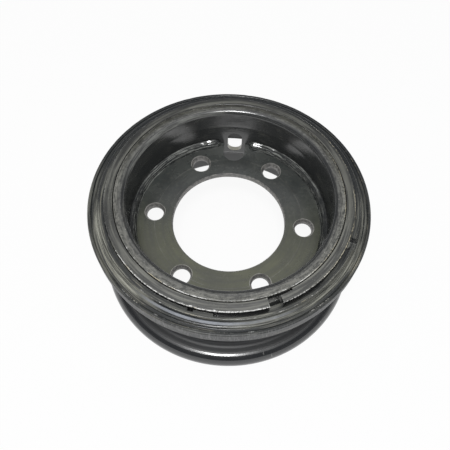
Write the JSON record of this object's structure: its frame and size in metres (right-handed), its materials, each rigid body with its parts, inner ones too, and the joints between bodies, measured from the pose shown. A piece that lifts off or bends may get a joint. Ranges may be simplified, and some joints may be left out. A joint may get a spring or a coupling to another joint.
{
  "type": "forklift wheel rim",
  "caption": "Three-piece steel wheel rim with a welded bolt-on disc, fixed flange, loose side ring and split lock ring for a small pneumatic forklift tyre.",
  "frame": {"origin": "on the wheel axis at the floor, under the fixed flange the rim lies on", "axes": "+Z is the wheel axis, up, towards the lock ring; +Y points to within two degrees of the valve slot; +X to the right when the valve slot is at the far side"},
  "size_m": [0.238, 0.238, 0.1005],
  "materials": {
    "gloss_black_paint": "semi-gloss black paint, scuffed to olive grey on the gutter tip",
    "satin_black_paint": "satin black paint, dusty, bare steel in the holes",
    "painted_weld": "rippled weld bead under glossy black paint",
    "dusty_black_paint": "black paint with grey dust and fine scratches",
    "worn_black_paint": "worn black paint with chipped bright edges"
  },
  "bodies": {
    "root": {"rim_base": "gloss_black_paint", "wheel_disc": "satin_black_paint", "front_weld": "painted_weld", "rear_weld": "painted_weld", "side_ring": "dusty_black_paint", "lock_ring": "worn_black_paint"}
  },
  "joints": []
}
